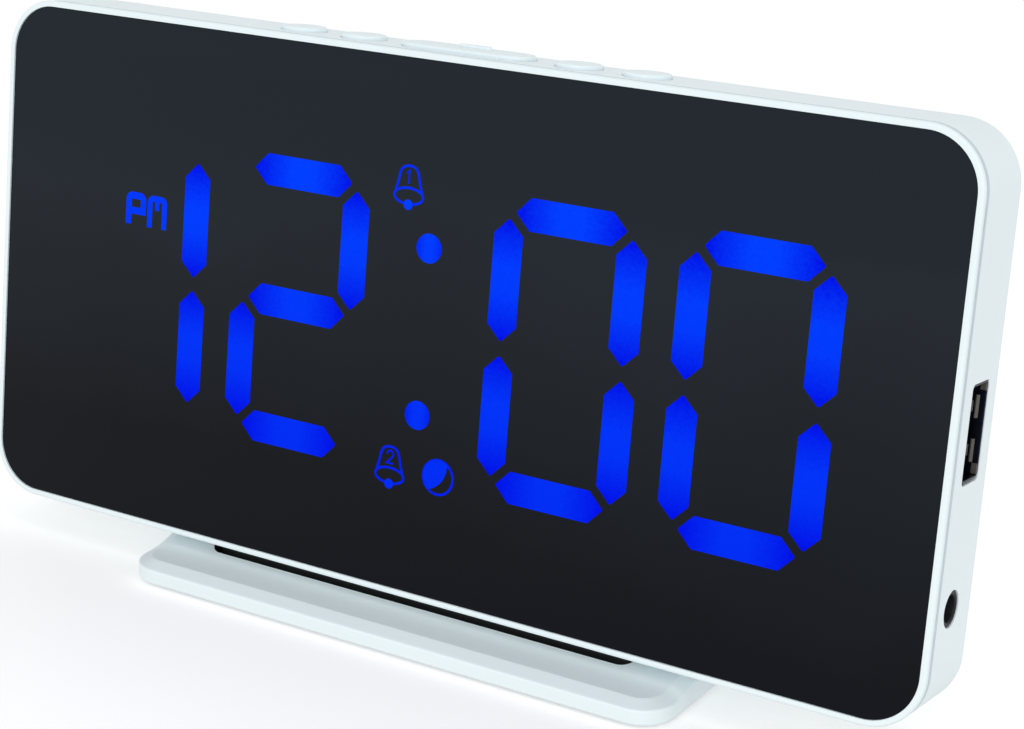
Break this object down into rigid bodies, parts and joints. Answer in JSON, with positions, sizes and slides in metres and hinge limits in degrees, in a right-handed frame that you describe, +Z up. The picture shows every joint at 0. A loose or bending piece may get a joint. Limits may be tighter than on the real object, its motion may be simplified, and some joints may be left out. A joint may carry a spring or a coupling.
{
  "type": "digital alarm clock",
  "caption": "Slim upright digital alarm clock with a glowing segment display, top buttons and snooze bar, USB charging and power sockets, on a low ramp-shaped foot.",
  "frame": {"origin": "middle of the foot's outline, on the table", "axes": "+Z up, the dial faces -Y, +X to the right as the dial is read"},
  "size_m": [0.162, 0.05, 0.085],
  "materials": {
    "white_plastic": "fine satin, cool white",
    "smoked_acrylic": "polished dark tinted acrylic",
    "blue_light_guide": "diffusing light guide, lit blue",
    "black_plastic": "black, satin",
    "circuit_board": "green solder mask",
    "bright_steel": "bright plated steel",
    "contact_brass": "bright spring brass",
    "grey_rubber": "matte grey rubber"
  },
  "bodies": {
    "clock": {"base_screw_1": "bright_steel", "base_screw_2": "bright_steel", "board_header": "black_plastic", "button_board": "circuit_board", "buzzer": "black_plastic", "cell_contact_minus": "contact_brass", "cell_contact_plus": "contact_brass", "cell_holder": "black_plastic", "centre_marks_lens": "blue_light_guide", "clock_chip": "black_plastic", "coin_cell": "bright_steel", "cover_screw_1": "bright_steel", "cover_screw_2": "bright_steel", "cover_screw_3": "bright_steel", "cover_screw_4": "bright_steel", "dc_jack_body": "black_plastic", "digit_1_lens": "blue_light_guide", "digit_2_lens": "blue_light_guide", "digit_3_lens": "blue_light_guide", "digit_4_lens": "blue_light_guide", "display_board": "circuit_board", "foot_base_plate": "black_plastic", "foot_pad_1": "grey_rubber", "foot_pad_2": "grey_rubber", "foot_pad_3": "grey_rubber", "foot_pad_4": "grey_rubber", "foot_shell": "white_plastic", "foot_weight": "bright_steel", "front_case": "white_plastic", "jack_pin": "bright_steel", "light_box": "black_plastic", "light_sensor": "smoked_acrylic", "neck": "black_plastic", "neck_screw_1": "bright_steel", "neck_screw_2": "bright_steel", "pm_mark_lens": "blue_light_guide", "power_board": "circuit_board", "rear_cover": "white_plastic", "switch_1": "black_plastic", "switch_2": "black_plastic", "switch_3": "black_plastic", "switch_4": "black_plastic", "switch_5": "black_plastic", "usb_contact_1": "contact_brass", "usb_contact_2": "contact_brass", "usb_contact_3": "contact_brass", "usb_contact_4": "contact_brass", "usb_insulator": "black_plastic", "usb_shell": "bright_steel", "window_panel": "smoked_acrylic"},
    "left_outer_button": {"left_outer_button": "white_plastic"},
    "left_inner_button": {"left_inner_button": "white_plastic"},
    "snooze_bar": {"snooze_bar": "white_plastic"},
    "right_inner_button": {"right_inner_button": "white_plastic"},
    "right_outer_button": {"right_outer_button": "white_plastic"},
    "battery_cap": {"battery_cap": "white_plastic"}
  },
  "joints": [
    {"name": "left_outer_button_press", "type": "slide", "parent": "clock", "child": "left_outer_button", "axis": [0, -0.1219, -0.9925], "range_m": [0, 0.00045], "stiffness_N_per_m": 3000},
    {"name": "left_inner_button_press", "type": "slide", "parent": "clock", "child": "left_inner_button", "axis": [0, -0.1219, -0.9925], "range_m": [0, 0.00045], "stiffness_N_per_m": 3000},
    {"name": "snooze_bar_press", "type": "slide", "parent": "clock", "child": "snooze_bar", "axis": [0, -0.1219, -0.9925], "range_m": [0, 0.00045], "stiffness_N_per_m": 3000},
    {"name": "right_inner_button_press", "type": "slide", "parent": "clock", "child": "right_inner_button", "axis": [0, -0.1219, -0.9925], "range_m": [0, 0.00045], "stiffness_N_per_m": 3000},
    {"name": "right_outer_button_press", "type": "slide", "parent": "clock", "child": "right_outer_button", "axis": [0, -0.1219, -0.9925], "range_m": [0, 0.00045], "stiffness_N_per_m": 3000},
    {"name": "battery_cap_turn", "type": "hinge", "parent": "clock", "child": "battery_cap", "pos_m": [0.03, 0.00093, 0.04168], "axis": [0, 0.9925, -0.1219], "range_deg": [0, 49]}
  ]
}
